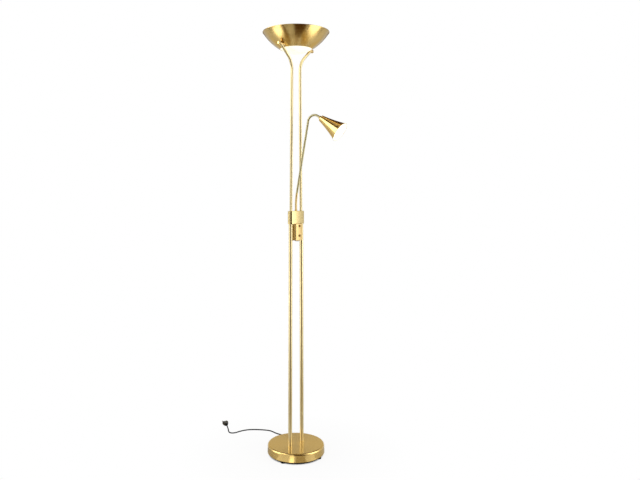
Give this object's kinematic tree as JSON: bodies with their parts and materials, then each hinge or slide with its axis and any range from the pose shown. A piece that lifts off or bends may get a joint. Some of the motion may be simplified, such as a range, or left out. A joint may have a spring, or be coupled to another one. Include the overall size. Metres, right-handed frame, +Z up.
{
  "type": "torchiere floor lamp with reading light",
  "caption": "Brass torchiere floor lamp: tilting uplight bowl on flared twin poles, coupler with push buttons, gooseneck reading light, round weighted base and mains cord.",
  "frame": {"origin": "centre of the base on the floor, on the flat underside of the foot ring", "axes": "+Z up, +X along the line of the two poles, -Y the side of the push buttons"},
  "size_m": [0.2949, 0.7295, 1.8],
  "materials": {
    "brass_spun": "satin",
    "brass_pole": "satin",
    "brass_block": "satin",
    "brass_neck": "satin",
    "brass_turned": "polished",
    "opal_glass": "satin",
    "lamp_glass": "glossy",
    "ceramic_white": "matte",
    "cast_iron": "matte",
    "zinc_steel": "satin",
    "black_plastic": "matte",
    "grey_plastic": "matte",
    "board_green": "satin",
    "foot_rubber": "matte",
    "cord_rubber": "satin",
    "fibre_washer": "matte",
    "nickel_pins": "polished"
  },
  "bodies": {
    "base": {"base_shell": "brass_spun", "base_weight": "cast_iron", "base_plate": "zinc_steel", "base_screws": "zinc_steel", "foot_ring": "foot_rubber", "lower_pole_right": "brass_pole", "lower_pole_left": "brass_pole", "foot_nipples": "zinc_steel", "foot_washers": "zinc_steel", "foot_nuts": "zinc_steel", "coupler_block": "brass_block", "lower_set_screws": "zinc_steel", "upper_set_screws": "zinc_steel", "upper_pole_right": "brass_pole", "upper_pole_left": "brass_pole", "pivot_barrel_right": "brass_turned", "pivot_barrel_left": "brass_turned", "control_housing": "brass_block", "housing_screws": "zinc_steel", "housing_bush": "grey_plastic", "housing_cover": "brass_block", "cover_screws": "zinc_steel", "control_board": "board_green", "push_switches": "black_plastic", "cord_gland": "black_plastic", "gland_nut": "black_plastic", "cord_relief": "cord_rubber", "cord_lead": "cord_rubber", "cord_coil": "cord_rubber", "power_cord": "cord_rubber", "mains_plug": "black_plastic", "plug_pins": "nickel_pins"},
    "bowl": {"bowl_shell": "brass_spun", "glass_dome": "opal_glass", "pivot_collar_right": "brass_turned", "pivot_collar_left": "brass_turned", "pivot_nipples": "zinc_steel", "pivot_nuts": "zinc_steel", "pivot_washers": "fibre_washer", "pivot_knob_right": "brass_turned", "pivot_knob_left": "brass_turned", "lamp_bracket": "zinc_steel", "lamp_holders": "ceramic_white", "lamp_ends": "ceramic_white", "lamp_tube": "lamp_glass", "pivot_sleeve_right": "brass_turned", "pivot_sleeve_left": "brass_turned"},
    "uplight_button_body": {"uplight_button": "black_plastic"},
    "reading_button_body": {"reading_button": "black_plastic"},
    "neck_foot_body": {"neck_foot": "brass_neck", "neck_nut": "zinc_steel"},
    "neck_lower_body": {"neck_lower": "brass_neck"},
    "neck_middle_body": {"neck_middle": "brass_neck"},
    "neck_upper_body": {"neck_upper": "brass_neck"},
    "reading_head": {"neck_end": "brass_neck", "head_bush": "brass_turned", "reading_shade": "brass_spun", "head_nut": "brass_turned", "reading_holder": "ceramic_white", "reading_bulb": "lamp_glass"}
  },
  "joints": [
    {"name": "bowl_tilt", "type": "hinge", "parent": "base", "child": "bowl", "pos_m": [0, 0, 1.736], "axis": [1, 0, 0], "range_deg": [-30, 30]},
    {"name": "uplight_press", "type": "slide", "parent": "base", "child": "uplight_button_body", "axis": [0, 1, 0], "range_m": [0, 0.002], "stiffness_N_per_m": 600, "springref_m": -0.001},
    {"name": "reading_press", "type": "slide", "parent": "base", "child": "reading_button_body", "axis": [0, 1, 0], "range_m": [0, 0.002], "stiffness_N_per_m": 600, "springref_m": -0.001},
    {"name": "neck_swivel", "type": "hinge", "parent": "base", "child": "neck_foot_body", "pos_m": [0, 0, 1.036], "axis": [0, 0, 1], "range_deg": [-70, 40]},
    {"name": "neck_bend_low", "type": "hinge", "parent": "neck_foot_body", "child": "neck_lower_body", "pos_m": [0.00113, -0.00423, 1.11307], "axis": [0.9659, 0.2588, 0], "range_deg": [-5, 28]},
    {"name": "neck_bend_middle", "type": "hinge", "parent": "neck_lower_body", "child": "neck_middle_body", "pos_m": [0.00794, -0.02963, 1.26532], "axis": [0.9659, 0.2588, 0], "range_deg": [-6, 28]},
    {"name": "neck_bend_high", "type": "hinge", "parent": "neck_middle_body", "child": "neck_upper_body", "pos_m": [0.01475, -0.05503, 1.41756], "axis": [0.9659, 0.2588, 0], "range_deg": [-25, 20]},
    {"name": "neck_bend_crook", "type": "hinge", "parent": "neck_upper_body", "child": "reading_head", "pos_m": [0.01935, -0.07223, 1.4397], "axis": [0.9659, 0.2588, 0], "range_deg": [-25, 20]}
  ]
}
